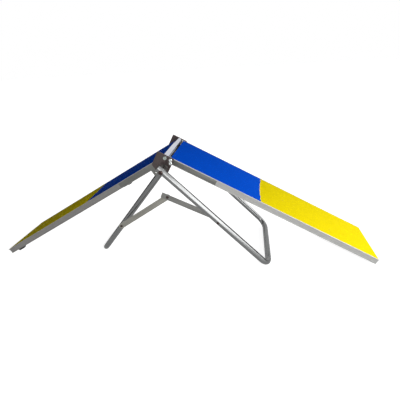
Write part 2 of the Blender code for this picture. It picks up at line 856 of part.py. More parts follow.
# The knee opens between its bolt in the right bar and its nut in the left bar.
turned(
    "knee_bolt",
    headed(knee_head_radius, knee_bolt_head, brace_pin_radius,
           -right_bar_outside - gap, -right_bar_inside - knee_half_gap, -1),
    -brace_bar_right, 0, right_bar, bolt_steel,
)
turned(
    "knee_nut",
    headed(knee_head_radius, knee_nut_head, brace_pin_radius,
           -left_bar_inside + gap, -left_bar_outside + knee_half_gap, 1),
    brace_bar_left, 0, left_bar, bright_steel,
)

# Left brace pin through the bar, a long spacer and the near side of the inner tube
nut_outside = -inner_tube_inside + gap
nut_inside = nut_outside + brace_nut_height
turned(
    "brace_pin_left",
    headed(brace_head_radius, brace_low_head, brace_pin_radius,
           -left_bar_outside - gap, nut_inside + brace_thread_end, -1),
    -brace_pin_left, 0, inner_leg, bolt_steel,
)
ring(
    "brace_spacer_left", pin_hole, brace_spacer_radius,
    -left_bar_inside + gap, -inner_tube_outside - gap,
    -brace_pin_left, 0, inner_leg, bright_steel,
)
nut(
    "brace_nut_left", pin_hole, brace_nut_radius, nut_outside, nut_inside,
    -brace_pin_left, 0, inner_leg, bright_steel,
)

# Right brace pin through the near side of the outer tube, a washer and the bar
turned(
    "brace_pin_right",
    headed(brace_head_radius, brace_head_height, brace_pin_radius,
           -outer_tube_outside - gap, -right_bar_inside - knee_half_gap, -1),
    brace_pin_right, 0, outer_leg, bolt_steel,
)
ring(
    "brace_washer_right", pin_hole, brace_washer_radius,
    -outer_tube_inside + gap, -right_bar_outside - gap,
    brace_pin_right, 0, outer_leg, bright_steel,
)
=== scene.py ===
import json
from math import asin, atan2, cos, pi, radians, sin

import bmesh
import bpy
from mathutils import Matrix, Vector

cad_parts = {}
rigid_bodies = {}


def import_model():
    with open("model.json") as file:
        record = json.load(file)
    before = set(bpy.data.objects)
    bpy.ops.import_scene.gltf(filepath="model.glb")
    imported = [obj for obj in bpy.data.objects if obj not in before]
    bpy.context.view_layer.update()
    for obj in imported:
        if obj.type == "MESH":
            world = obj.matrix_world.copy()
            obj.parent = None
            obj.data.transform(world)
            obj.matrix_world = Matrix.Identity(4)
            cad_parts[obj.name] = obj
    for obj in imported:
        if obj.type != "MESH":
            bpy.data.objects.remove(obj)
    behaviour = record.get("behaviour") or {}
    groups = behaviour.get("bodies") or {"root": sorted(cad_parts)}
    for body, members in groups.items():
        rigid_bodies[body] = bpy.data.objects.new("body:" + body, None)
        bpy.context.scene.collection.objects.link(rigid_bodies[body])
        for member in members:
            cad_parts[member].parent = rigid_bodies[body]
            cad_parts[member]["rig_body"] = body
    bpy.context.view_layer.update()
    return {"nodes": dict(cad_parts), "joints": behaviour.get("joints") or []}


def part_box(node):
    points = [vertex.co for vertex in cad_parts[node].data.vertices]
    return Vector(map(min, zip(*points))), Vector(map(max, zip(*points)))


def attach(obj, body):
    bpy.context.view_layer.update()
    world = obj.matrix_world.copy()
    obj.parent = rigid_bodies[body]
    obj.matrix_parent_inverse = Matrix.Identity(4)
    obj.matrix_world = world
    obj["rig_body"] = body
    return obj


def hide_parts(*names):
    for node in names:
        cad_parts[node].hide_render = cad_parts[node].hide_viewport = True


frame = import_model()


# Narrow U tube of the stand
# One length of drawn aluminium tube, bent twice in a tube bender, with fine drawing lines along it.
# Its legs fit between the plank's rails and hang on the two pivot bolts near their open ends.
tube_radius = 0.020
tube_wall = 0.0018
bend_radius = 0.070
plug_cap = 0.003
tube_sides = 56
bend_steps = 18
narrow_leg = 0.880
narrow_centre_y = 0.1285
narrow_overhang = 0.026
smooth_below = radians(32)
tube_grey = (0.195, 0.198, 0.198, 1)
pivot = Vector(next(joint for joint in frame["joints"] if joint["name"] == "plank_tilt")["pos_m"])
leg_drop = pivot.z - tube_radius


def add(tree, kind, settings=None, inputs=None):
    """Adds a shader node, sets what it is given, and links each input that is another node's output."""
    node = tree.nodes.new("ShaderNode" + kind)
    for key, value in (settings or {}).items():
        setattr(node, key, value)
    for key, value in (inputs or {}).items():
        if isinstance(value, bpy.types.NodeSocket):
            tree.links.new(value, node.inputs[key])
        else:
            node.inputs[key].default_value = value
    return node


def number(tree, operation, first, second=0.0, third=0.0):
    """One sum on two or three numbers."""
    return add(tree, "Math", {"operation": operation}, {0: first, 1: second, 2: third}).outputs[0]


def effect(name, inputs, outputs):
    """An empty shader effect with named inputs and outputs, and its two end nodes."""
    tree = bpy.data.node_groups.new(name, "ShaderNodeTree")
    for socket, kind in inputs:
        tree.interface.new_socket(socket, in_out="INPUT", socket_type="NodeSocket" + kind)
    for socket, kind in outputs:
        tree.interface.new_socket(socket, in_out="OUTPUT", socket_type="NodeSocket" + kind)
    return tree, tree.nodes.new("NodeGroupInput").outputs, tree.nodes.new("NodeGroupOutput").inputs


# Drawing lines along local X, cloudy stains and fine pits, as on bare metal that has been handled
line_scale = (1.5, 620, 620)
stain_scale = 11.0
pit_scale = 900.0
line_shade = 0.35
line_roughness = 0.25
stain_roughness = -0.5
pit_height = 0.35
drawn_metal, given, made = effect(
    "drawn_metal",
    [
        ("Vector", "Vector"), ("Colour", "Color"), ("Roughness", "Float"),
        ("Lines", "Float"), ("Stains", "Float"),
    ],
    [("Colour", "Color"), ("Roughness", "Float"), ("Height", "Float")],
)
stretched = add(drawn_metal, "Mapping", None, {"Vector": given["Vector"], "Scale": line_scale})
lines = add(drawn_metal, "TexNoise", None, {"Vector": stretched.outputs[0], "Scale": 1.0, "Detail": 3.0})
stains = add(drawn_metal, "TexNoise", None, {
    "Vector": given["Vector"], "Scale": stain_scale, "Detail": 5.0,
})
pits = add(drawn_metal, "TexNoise", None, {"Vector": given["Vector"], "Scale": pit_scale, "Detail": 1.0})
line_height = number(drawn_metal, "SUBTRACT", lines.outputs[0], 0.5)
stain_height = number(drawn_metal, "SUBTRACT", stains.outputs[0], 0.5)
lined = number(drawn_metal, "MULTIPLY", line_height, given["Lines"])
stained = number(drawn_metal, "MULTIPLY", stain_height, given["Stains"])
shade = number(drawn_metal, "ADD", number(drawn_metal, "MULTIPLY_ADD", lined, line_shade, 1.0), stained)
toned = add(drawn_metal, "HueSaturation", None, {"Value": shade, "Color": given["Colour"]})
drawn_metal.links.new(toned.outputs[0], made["Colour"])
rough = number(drawn_metal, "MULTIPLY_ADD", stained, stain_roughness, given["Roughness"])
rough = number(drawn_metal, "MULTIPLY_ADD", lined, line_roughness, rough)
drawn_metal.links.new(rough, made["Roughness"])
height = number(drawn_metal, "MULTIPLY_ADD", pits.outputs[0], pit_height, lined)
drawn_metal.links.new(height, made["Height"])


def metal(name, colour, roughness, turn=(0, 0, 0), lines=0.4, stains=0.25, depth=0.00002, along=None):
    """Bare metal, whose drawing lines run along X of the turned Object coordinates or of an attribute."""
    look = bpy.data.materials.new(name)
    look.use_nodes = True
    tree = look.node_tree
    shader = tree.nodes["Principled BSDF"]
    if along:
        start = add(tree, "Attribute", {"attribute_name": along}).outputs["Vector"]
    else:
        start = add(tree, "TexCoord").outputs["Object"]
    place = add(tree, "Mapping", None, {"Vector": start, "Rotation": turn}).outputs[0]
    finish = add(tree, "Group", {"node_tree": drawn_metal}, {
        "Vector": place, "Colour": colour, "Roughness": roughness, "Lines": lines, "Stains": stains,
    })
    bump = add(tree, "Bump", None, {"Height": finish.outputs["Height"], "Distance": depth})
    tree.links.new(finish.outputs["Colour"], shader.inputs["Base Color"])
    tree.links.new(finish.outputs["Roughness"], shader.inputs["Roughness"])
    tree.links.new(bump.outputs[0], shader.inputs["Normal"])
    shader.inputs["Metallic"].default_value = 1.0
    return look


def show(name, bm, look, *nodes):
    """Makes a piece of a finished mesh. It rides on the body of the CAD nodes that it stands for."""
    bmesh.ops.recalc_face_normals(bm, faces=bm.faces)
    mesh = bpy.data.meshes.new(name)
    bm.to_mesh(mesh)
    bm.free()
    mesh.shade_smooth()
    mesh.set_sharp_from_angle(angle=smooth_below)
    mesh.materials.append(look)
    piece = bpy.data.objects.new(name, mesh)
    bpy.context.scene.collection.objects.link(piece)
    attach(piece, frame["nodes"][nodes[0]]["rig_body"])
    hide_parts(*nodes)


def with_edges(faces):
    """Faces and their edges, as an extrusion wants them."""
    return faces + list({edge for face in faces for edge in face.edges})


def bent_tube(leg, centre_y, overhang, out, turn):
    """Draws a straight tube, then bends it into a U that lies along local X from the pivot."""
    bm = bmesh.new()
    bmesh.ops.create_circle(bm, segments=tube_sides, radius=tube_radius)
    bmesh.ops.create_circle(bm, segments=tube_sides, radius=tube_radius - tube_wall)
    end = bmesh.ops.bridge_loops(bm, edges=bm.edges[:])["faces"]
    straight = leg - bend_radius
    upper = straight + overhang - plug_cap
    arc = bend_radius * pi / 2
    base = 2 * (centre_y - bend_radius)
    bend = [arc / bend_steps] * bend_steps
    for length in [upper] + bend + [base] + bend + [upper]:
        grown = bmesh.ops.extrude_face_region(bm, geom=with_edges(end))["geom"]
        end = [item for item in grown if isinstance(item, bmesh.types.BMFace)]
        moved = [item for item in grown if isinstance(item, bmesh.types.BMVert)]
        bmesh.ops.translate(bm, verts=moved, vec=(0, 0, length))
    drawn = bm.verts.layers.float_vector.new("drawn")
    half = upper + arc + base / 2
    for vert in bm.verts:
        vert[drawn] = vert.co
        outwards, across, length = vert.co
        side = 1 if length > half else -1
        beyond = abs(length - half) - base / 2
        if beyond < 0:
            x, y = leg + outwards, length - half
        elif beyond < arc:
            angle = beyond / bend_radius
            x = straight + (bend_radius + outwards) * cos(angle)
            y = side * (base / 2 + (bend_radius + outwards) * sin(angle))
        else:
            x, y = straight + arc - beyond, side * (centre_y + outwards)
        vert.co = (out * x, y, across)
    placed = Matrix.Translation(pivot) @ Matrix.Rotation(turn, 4, "Y")
    bmesh.ops.transform(bm, matrix=placed, verts=bm.verts)
    return bm


drawn_tube = metal(
    "drawn_tube", tube_grey, 0.22, turn=(0, pi / 2, 0),
    lines=0.30, stains=0.22, depth=0.000008, along="drawn",
)
narrow_turn = -asin(leg_drop / narrow_leg)
show(
    "narrow_u_tube", bent_tube(narrow_leg, narrow_centre_y, narrow_overhang, -1, narrow_turn),
    drawn_tube, "inner_leg_tube",
)


# Wide U tube of the stand
# The same tube, bent to a wider and slightly longer U, whose legs pass outside the plank.
# The same two pivot bolts go through its legs, just outside the side plates.
wide_leg = 0.921
wide_centre_y = 0.2305
wide_overhang = 0.034
wide_turn = asin(leg_drop / wide_leg)
show(
    "wide_u_tube", bent_tube(wide_leg, wide_centre_y, wide_overhang, 1, wide_turn),
    drawn_tube, "outer_leg_tube",
)


# End plugs
# Moulded black plastic, one in each of the four open tube ends: a rounded cap over a ribbed stem.
# They are pushed in, and the ribs hold them by friction.
plug_gap = 0.0003
narrow_stem = 0.008
wide_stem = 0.012
stem_rib = 0.0004
rib_count = 6
# Shares of the tube's radius and of the cap's height, from its rim to the dimple in its middle
cap_shape = (
    (1, 0), (1, 0.5), (0.985, 0.78), (0.95, 0.94), (0.88, 1), (0.30, 1), (0.26, 0.85), (0.10, 0.85),
)
round_sides = 48
sides = {"near": -1, "far": 1}
plug_black = (0.028, 0.028, 0.030, 1)

# Fine moulded or sprayed texture with soft cloudy gloss
cloud_scale = 25.0
cloud_shade = 0.5
cloud_roughness = 0.25
grain_shade = 0.35
moulded, given, made = effect(
    "moulded_surface",
    [("Vector", "Vector"), ("Colour", "Color"), ("Roughness", "Float"), ("Grain Scale", "Float")],
    [("Colour", "Color"), ("Roughness", "Float"), ("Height", "Float")],
)
grain = add(moulded, "TexNoise", None, {
    "Vector": given["Vector"], "Scale": given["Grain Scale"], "Detail": 2.0,
})
cloud = add(moulded, "TexNoise", None, {"Vector": given["Vector"], "Scale": cloud_scale, "Detail": 4.0})
cloud_height = number(moulded, "SUBTRACT", cloud.outputs[0], 0.5)
grain_height = number(moulded, "SUBTRACT", grain.outputs[0], 0.5)
grained = number(moulded, "MULTIPLY_ADD", grain_height, grain_shade, 1.0)
shade = number(moulded, "MULTIPLY_ADD", cloud_height, cloud_shade, grained)
toned = add(moulded, "HueSaturation", None, {"Value": shade, "Color": given["Colour"]})
moulded.links.new(toned.outputs[0], made["Colour"])
rough = number(moulded, "MULTIPLY_ADD", cloud_height, cloud_roughness, given["Roughness"])
moulded.links.new(rough, made["Roughness"])
moulded.links.new(grain_height, made["Height"])


def coated(name, colour, roughness, scale, depth, metallic=0.0, specular=0.5):
    """Plastic, rubber or a sprayed coat with a fine grain."""
    look = bpy.data.materials.new(name)
    look.use_nodes = True
    tree = look.node_tree
    shader = tree.nodes["Principled BSDF"]
    start = add(tree, "TexCoord").outputs["Object"]
    finish = add(tree, "Group", {"node_tree": moulded}, {
        "Vector": start, "Colour": colour, "Roughness": roughness, "Grain Scale": scale,
    })
    bump = add(tree, "Bump", None, {"Height": finish.outputs["Height"], "Distance": depth})
    tree.links.new(finish.outputs["Colour"], shader.inputs["Base Color"])
    tree.links.new(finish.outputs["Roughness"], shader.inputs["Roughness"])
    tree.links.new(bump.outputs[0], shader.inputs["Normal"])
    shader.inputs["Metallic"].default_value = metallic
    shader.inputs["Specular IOR Level"].default_value = specular
    return look


def lathe(stations, hollow=False):
    """Turns a solid or a ring about local Z. A station is a radius, a height and corners, 0 if round."""
    bm = bmesh.new()
    bmesh.ops.create_circle(bm, segments=round_sides, radius=1, cap_ends=not hollow)
    edges = bm.edges[:]
    first = edges
    for count, (radius, height, corners) in enumerate(stations):
        if count:
            grown = bmesh.ops.extrude_edge_only(bm, edges=edges)["geom"]
            edges = [item for item in grown if isinstance(item, bmesh.types.BMEdge)]
            ring = [item for item in grown if isinstance(item, bmesh.types.BMVert)]
            edges = [edge for edge in edges if all(vert in ring for vert in edge.verts)]
        else:
            ring = bm.verts[:]
        for vert in ring:
            angle = atan2(vert.co.y, vert.co.x)
            reach = radius
            if corners:
                half = pi / corners
                reach = radius * cos(half) / cos((angle + 2 * pi) % (2 * half) - half)
            vert.co = (reach * cos(angle), reach * sin(angle), height)
    if hollow:
        bmesh.ops.bridge_loops(bm, edges=first + edges)
    else:
        bmesh.ops.edgeloop_fill(bm, edges=edges)
    return bm


def stand_on(bm, place, outwards):
    """Lays a turned piece with its local Z along a direction, at a place."""
    turn = Vector((0, 0, 1)).rotation_difference(Vector(outwards)).to_matrix().to_4x4()
    bmesh.ops.transform(bm, matrix=Matrix.Translation(place) @ turn, verts=bm.verts)
    return bm


black_plastic = coated("black_plastic", plug_black, 0.45, scale=900.0, depth=0.00004)
bore = tube_radius - tube_wall - plug_gap
for node, centre_y, out, turn, overhang, stem in (
    ("inner_end_plug", narrow_centre_y, -1, narrow_turn, narrow_overhang, narrow_stem),
    ("outer_end_plug", wide_centre_y, 1, wide_turn, wide_overhang, wide_stem),
):
    for side_name, side in sides.items():
        along = Matrix.Rotation(turn, 3, "Y") @ Vector((-out, 0, 0))
        cap_height = plug_cap - plug_gap
        ribs = [
            (bore - stem_rib * (step % 2), -stem + stem * step / rib_count, 0)
            for step in range(rib_count + 1)
        ]
        cap = [(tube_radius * wide, cap_height * high, 0) for wide, high in cap_shape]
        place = pivot + Vector((0, side * centre_y, 0)) + along * (overhang - cap_height)
        show(node + "_" + side_name + "_ribbed", stand_on(lathe(ribs + cap), place, along),
             black_plastic, node + "_" + side_name)


# Pivot bolts and their nuts, spacers and bushes
# Browned socket-head bolts go through the wide tube, a spacer, the side plate, a bush and the narrow tube.
# The locknuts are zinc-plated steel, the spacers turned aluminium and the bushes black plastic.
pivot_head_radius = 0.014
pivot_head_height = 0.008
pivot_shank = 0.005
pivot_socket = 0.005
pivot_threaded = 0.014
pivot_nut_corners = 0.0105
spacer_radius = 0.011
bush_radius = 0.012
hole_gap = 0.0003
thread_pitch = 0.0009
thread_depth = 0.0004
least_neck = 0.001
socket_depth = 0.45
socket_rim = 0.06
socket_flare = 1.12
# Shares of the head's radius and of its height below the top, from the socket to the seat
dome_shape = ((0.62, 0.03), (0.80, 0.17), (0.93, 0.38), (0.99, 0.62), (1, 0.88), (0.985, 1))
nut_chamfer = 0.14
nut_flats = 0.9
countersink = 1.15
brown_steel = (0.060, 0.043, 0.040, 1)
zinc_white = (0.72, 0.75, 0.74, 1)
spacer_grey = (0.16, 0.155, 0.15, 1)


def centre_and_ends(node):
    """A turned CAD piece's axis at mid width, its inner and outer end from there, and its side."""
    low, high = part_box(node)
    middle = (low + high) / 2
    ends = sorted((abs(low.y), abs(high.y)))
    return Vector((middle.x, 0, middle.z)), ends[0], ends[1], 1 if middle.y > 0 else -1


def thread(radius, start, end):
    """Stations of a threaded stretch: alternating crests and roots."""
    turns = max(2, round(abs(end - start) / thread_pitch))
    return [
        (radius - thread_depth * (step % 2), start + (end - start) * step / (2 * turns), 0)
        for step in range(2 * turns + 1)
    ]


def socket_bolt(node, look, head_radius, head_height, shank, socket, threaded):
    """A domed bolt with a hexagon socket in its head and a threaded end."""
    place, inner, outer, side = centre_and_ends(node)
    seat = outer - head_height
    stations = [
        (socket, outer - head_height * socket_depth, 6), (socket, outer - head_height * socket_rim, 6),
        (socket * socket_flare, outer, 0),
    ]
    stations += [(head_radius * wide, outer - head_height * low, 0) for wide, low in dome_shape]
    stations += [(shank, seat, 0)] + thread(shank, min(inner + threaded, seat - least_neck), inner)
    show(node + "_domed", stand_on(lathe(stations), place, (0, side, 0)), look, node)


def hexagon_nut(node, look, hole, corner_radius):
    """A hexagon nut with chamfered corners and a countersunk hole."""
    place, inner, outer, side = centre_and_ends(node)
    chamfer = (outer - inner) * nut_chamfer
    flats = corner_radius * nut_flats
    sunk = hole * countersink
    nut = lathe([
        (hole, inner + chamfer, 0), (sunk, inner, 0), (flats, inner, 0),
        (corner_radius, inner + chamfer, 6), (corner_radius, outer - chamfer, 6),
        (flats, outer, 0), (sunk, outer, 0), (hole, outer - chamfer, 0),
    ], hollow=True)
    show(node + "_chamfered", stand_on(nut, place, (0, side, 0)), look, node)


def turned_ring(node, look, hole, radius, chamfer=0.0005):
    """A spacer, bush or washer with broken edges."""
    place, inner, outer, side = centre_and_ends(node)
    ring = lathe([
        (hole, inner, 0), (radius - chamfer, inner, 0), (radius, inner + chamfer, 0),
        (radius, outer - chamfer, 0), (radius - chamfer, outer, 0), (hole, outer, 0),
    ], hollow=True)
    show(node + "_turned", stand_on(ring, place, (0, side, 0)), look, node)


browned = metal("browned_steel", brown_steel, 0.24, lines=0.1, stains=0.5, depth=0.00001)
zinc_plated = metal("zinc_plated_steel", zinc_white, 0.18, lines=0.1, stains=0.25, depth=0.00001)
turned_grey = metal(
    "turned_grey_aluminium", spacer_grey, 0.40, turn=(pi / 2, 0, 0), lines=0.3, stains=0.3,
)
pivot_hole = pivot_shank + hole_gap
for side_name in sides:
    socket_bolt("pivot_bolt_" + side_name, browned, pivot_head_radius, pivot_head_height,
                pivot_shank, pivot_socket, pivot_threaded)
    hexagon_nut("pivot_nut_" + side_name, zinc_plated, pivot_hole, pivot_nut_corners)
    turned_ring("pivot_spacer_" + side_name, turned_grey, pivot_hole, spacer_radius)
    turned_ring("pivot_bush_" + side_name, black_plastic, pivot_hole, bush_radius)


# Side plates with their pivot flanges
# Laser-cut steel plates with a dark brownish coat, one on each side, bolted to the right half's rails.
# A small riveted disc stiffens each plate where the pivot bolt goes through it.
sharp_above = radians(30)
plate_edge = 0.0008
flange_edge = 0.0003
plate_brown = (0.088, 0.068, 0.066, 1)
flange_grey = (0.12, 0.115, 0.11, 1)


def rounded(node, look, radius, steps=2):
    """A copy of a CAD piece with its sharp edges broken, as deburring or moulding leaves them."""
    bm = bmesh.new()
    bm.from_mesh(frame["nodes"][node].data)
    bmesh.ops.remove_doubles(bm, verts=bm.verts, dist=0.000002)
    bmesh.ops.dissolve_limit(bm, angle_limit=radians(1), verts=bm.verts, edges=bm.edges)
    sharp = [edge for edge in bm.edges if edge.calc_face_angle(0) > sharp_above]
    bmesh.ops.bevel(bm, geom=sharp, offset=radius, offset_type="OFFSET", segments=steps,
                    profile=0.5, affect="EDGES", material=-1, clamp_overlap=True)
    bmesh.ops.triangulate(bm, faces=bm.faces)
    show(node + "_rounded", bm, look, node)


coated_plate = coated(
    "coated_plate", plate_brown, 0.38, scale=700.0, depth=0.00005, metallic=0.55,
)
flange_metal = metal("flange_metal", flange_grey, 0.42, lines=0.15, stains=0.4)
for side_name in sides:
    rounded("side_plate_" + side_name, coated_plate, plate_edge)
    rounded("pivot_flange_" + side_name, flange_metal, flange_edge)


# Axle
# A bright turned bar across the plank, about which the left half folds.
# A hexagon bolt with a washer face goes through each plate and the left strap's eye into its end.
axle_radius = 0.018
axle_chamfer = 0.001
axle_bolt_shank = 0.005
axle_bolt_head = (0.0125, 0.008)
blind_hole = 0.027
head_flats = 0.88
# Shares of the flats' radius and of the head's height below the top, from the dish to the flats' edge
dish_shape = ((0.35, 0.08), (0.62, 0.08), (0.70, 0), (1, 0))
head_slope = 0.16
washer_face_height = 0.06
washer_face = 0.86
washer_round = (0.0006, 0.0005)
washer_chamfer = 0.0003
axle_white = (0.56, 0.58, 0.64, 1)
bolt_green = (0.40, 0.45, 0.42, 1)


def hexagon_bolt(node, look, head_radius, head_height, shank, washer=None, threaded=0.010):
    """A hexagon bolt with a dished top, and a washer face or a washer under its head."""
    place, inner, outer, side = centre_and_ends(node)
    seat = outer - head_height
    flats = head_radius * head_flats
    stations = [(flats * wide, outer - head_height * low, 0) for wide, low in dish_shape]
    stations += [
        (head_radius, outer - head_height * head_slope, 6),
        (head_radius, seat + head_height * washer_face_height, 6),
        (head_radius * washer_face, seat, 0),
    ]
    if washer:
        washer_radius, washer_height = washer
        under = seat - washer_height
        stations += [
            (washer_radius - washer_round[0], seat, 0), (washer_radius, seat - washer_round[1], 0),
            (washer_radius, under + washer_chamfer, 0), (washer_radius - washer_chamfer, under, 0),
        ]
        seat = under
    stations += [(shank, seat, 0)] + thread(shank, min(inner + threaded, seat - least_neck), inner)
    show(node + "_hexagon", stand_on(lathe(stations), place, (0, side, 0)), look, node)


bright_axle = metal(
    "bright_axle", axle_white, 0.20, turn=(0, 0, pi / 2), lines=0.25, stains=0.18, depth=0.00001,
)
dull_zinc = metal("dull_zinc_steel", bolt_green, 0.32, lines=0.1, stains=0.4, depth=0.00001)
place, inner, outer, side = centre_and_ends("axle_bar")
axle_hole = axle_bolt_shank + hole_gap
ends = [
    (axle_hole, outer - blind_hole, 0), (axle_hole, outer, 0),
    (axle_radius - axle_chamfer, outer, 0), (axle_radius, outer - axle_chamfer, 0),
]
bar = [(radius, -height, 0) for radius, height, corners in ends] + ends[::-1]
show("axle_bar_turned", stand_on(lathe(bar), place, (0, 1, 0)), bright_axle, "axle_bar")
for side_name in sides:
    hexagon_bolt("axle_bolt_" + side_name, dull_zinc, *axle_bolt_head, axle_bolt_shank)


# Side rails of both plank halves
# Extruded aluminium channels, open outwards, with fine grooves along the recessed wall and rounded lips.
# The cut ends stay as sawn, and the left ones' lower lip is milled off where the strap's bracket passes.
plank_slope = radians(29.4)
axle_depth = 0.014
rail_outer_y = 0.170
rail_inner_y = 0.150
recess_y = 0.1667
web_inner_y = 0.1639
rail_depth = 0.040
rail_edge = 0.004
rail_floor = 0.037
lip_width = 0.006
deck_top = 0.0028
deck_bottom = 0.0048
rail_start = 0.019
half_length = 1.500
milled = (0.0917, 0.1313)
milled_margin = 0.0001
groove_places = (0.0075, 0.0115, 0.0155, 0.0200, 0.0245, 0.0285, 0.0325)
groove_depth = 0.00045
groove_half = 0.0005
lip_edge = 0.0006
lengthwise = 0.01
halves = {"right": 1, "left": -1}
# Brushed lines mirror light from one side only, here on the right rails. That reflection is painted into
# their lighter grey, and the left rails' darker grey is painted shade on the same aluminium.
rail_silver_and_painted_light = {"right": (0.43, 0.43, 0.42, 1), "left": (0.27, 0.265, 0.255, 1)}
axle = Vector(next(joint for joint in frame["joints"] if joint["name"] == "plank_fold")["pos_m"])


def on_half(out):
    """From a half's own frame to the whole object's: X outwards from the axle, Z up from it."""
    return Matrix.Translation(axle) @ Matrix.Rotation(out * plank_slope, 4, "Y")


grooves = []
for depth in groove_places:
    grooves += [
        (recess_y, depth - groove_half), (recess_y - groove_depth, depth - groove_half * 0.5),
        (recess_y - groove_depth, depth + groove_half * 0.5), (recess_y, depth + groove_half),
    ]
rail_section = [
    (rail_outer_y, 0), (rail_outer_y, rail_edge), (recess_y, rail_edge),
] + grooves + [
    (recess_y, rail_depth - rail_edge), (rail_outer_y, rail_depth - rail_edge),
    (rail_outer_y, rail_depth), (recess_y, rail_depth), (rail_inner_y, rail_depth),
    (rail_inner_y, rail_floor), (web_inner_y, rail_floor), (web_inner_y, deck_bottom),
    (rail_inner_y, deck_bottom), (rail_inner_y, deck_top), (rail_outer_y - lip_width, deck_top),
    (rail_outer_y - lip_width, 0),
]


def mill_lip(bm, out, side):
    """Takes away the lower lip between the two milled places and closes the wall and both ends."""
    start, stop = milled
    lip = []
    for face in bm.faces:
        middle = face.calc_center_median()
        beside = side * middle.y > recess_y + milled_margin
        low = axle_depth - middle.z > rail_depth - rail_edge - milled_margin
        if beside and low and start < out * middle.x < stop:
            lip.append(face)
    bmesh.ops.delete(bm, geom=lip, context="FACES")
    open_verts = {vert for edge in bm.edges if len(edge.link_faces) == 1 for vert in edge.verts}

    def at(place, y, depth):
        """The open corner nearest to a place along the half, a distance from mid width and a depth."""
        wanted = Vector((out * place, side * y, axle_depth - depth))
        return min(open_verts, key=lambda vert: (vert.co - wanted).length)

    wall = [(recess_y, rail_depth - rail_edge), (recess_y, rail_depth)]
    nose = [(rail_outer_y, rail_depth), (rail_outer_y, rail_depth - rail_edge)]
    for place in milled:
        bm.faces.new([at(place, *corner) for corner in wall + nose])
    bm.faces.new([at(start, *corner) for corner in wall] + [at(stop, *corner) for corner in wall[::-1]])


for half, out in halves.items():
    # Each half's rails get their own copy of the aluminium, with the painted reflection on the right and
    # painted shade on the left.
    rail_look = metal(
        half + "_rail_aluminium", rail_silver_and_painted_light[half], 0.42, turn=(0, -out * plank_slope, 0),
        lines=0.7, stains=0.20, depth=0.00003,
    )
    for side_name, side in sides.items():
        bm = bmesh.new()
        end = [bm.faces.new([
            bm.verts.new((out * rail_start, side * y, axle_depth - depth)) for y, depth in rail_section
        ])]
        stops = [rail_start, half_length] if out > 0 else [rail_start, *milled, half_length]
        for before, after in zip(stops, stops[1:]):
            grown = bmesh.ops.extrude_face_region(bm, geom=with_edges(end))["geom"]
            end = [item for item in grown if isinstance(item, bmesh.types.BMFace)]
            moved = [item for item in grown if isinstance(item, bmesh.types.BMVert)]
            bmesh.ops.translate(bm, verts=moved, vec=(out * (after - before), 0, 0))
        if out < 0:
            mill_lip(bm, out, side)
        outer_edges = [
            edge for edge in bm.edges
            if abs(edge.verts[0].co.x - edge.verts[1].co.x) > lengthwise
            and abs(abs(edge.verts[0].co.y) - recess_y) > lip_edge
        ]
        bmesh.ops.bevel(bm, geom=outer_edges, offset=lip_edge, offset_type="OFFSET", segments=2,
                        profile=0.5, affect="EDGES", material=-1, clamp_overlap=True)
        bmesh.ops.transform(bm, matrix=on_half(out), verts=bm.verts)
        node = half + "_rail_" + side_name
        show(node + "_grooved", bm, rail_look, node)


# Deck sheets and cross members
# A thin aluminium sheet closes each half between the rails, riveted to flat cross members and an end angle.
sheet_edge = 0.0003
deck_silver = (0.24, 0.24, 0.24, 1)
for half, out in halves.items():
    deck_look = metal(
        half + "_deck_aluminium", deck_silver, 0.42, turn=(0, -out * plank_slope, 0),
        lines=0.5, stains=0.35,
    )
    for part in ("deck", "crossbar_inner", "crossbar_1", "crossbar_2", "crossbar_end"):
        rounded(half + "_" + part, deck_look, sheet_edge, steps=1)


# Coverings
# Rubber granules sprayed on in two colours, blue near the hinge and yellow outwards.
# The border between the colours was sprayed by eye, so it runs askew and its granules mix.
sprayed_blue = (0.0010, 0.075, 0.580, 1)
sprayed_yellow = (0.95, 0.77, 0.003, 1)
granule_size = 0.0026
granule_height = 0.0005
covering_edge = 0.0008
covering_half_width = 0.1637
# Each border's distance from the axle at the near and the far edge, and how far it bows outwards
colour_borders = {"right": (0.643, 0.658, -0.008), "left": (0.667, 0.712, 0.0)}
wander_scale = 55.0
wander_reach = 0.010
scatter_reach = 0.004

# Cells of granules with their own shade, a few pale specks, and patches where the spray lies thicker
darkest_shade = 0.885
shade_range = 0.15
speck_share = 0.012
speck_shade = 0.7
shine_range = 0.2
patch_scale = 14.0
patch_shade = 0.08
fine_scale = 1400.0
fine_height = 0.25
granules, given, made = effect(
    "granules",
    [("Vector", "Vector"), ("Roughness", "Float")],
    [("Shade", "Float"), ("Roughness", "Float"), ("Height", "Float"), ("Scatter", "Float")],
)
cells = add(granules, "TexVoronoi", None, {"Vector": given["Vector"], "Scale": 1 / granule_size})
fine = add(granules, "TexNoise", None, {"Vector": given["Vector"], "Scale": fine_scale, "Detail": 2.0})
patches = add(granules, "TexNoise", None, {
    "Vector": given["Vector"], "Scale": patch_scale, "Detail": 5.0,
})
tint = add(granules, "SeparateColor", None, {0: cells.outputs["Color"]})
shade = number(granules, "MULTIPLY_ADD", tint.outputs[0], shade_range, darkest_shade)
specks = number(granules, "GREATER_THAN", tint.outputs[1], 1 - speck_share)
shade = number(granules, "MULTIPLY_ADD", specks, speck_shade, shade)
shade = number(granules, "MULTIPLY_ADD", patches.outputs[0], patch_shade, shade)
granules.links.new(shade, made["Shade"])
rough = number(granules, "MULTIPLY_ADD", tint.outputs[1], shine_range, given["Roughness"])
granules.links.new(rough, made["Roughness"])
dome = number(granules, "SUBTRACT", 1.0, cells.outputs["Distance"])
height = number(granules, "MULTIPLY_ADD", fine.outputs[0], fine_height, dome)
granules.links.new(height, made["Height"])
granules.links.new(number(granules, "SUBTRACT", tint.outputs[2], 0.5), made["Scatter"])


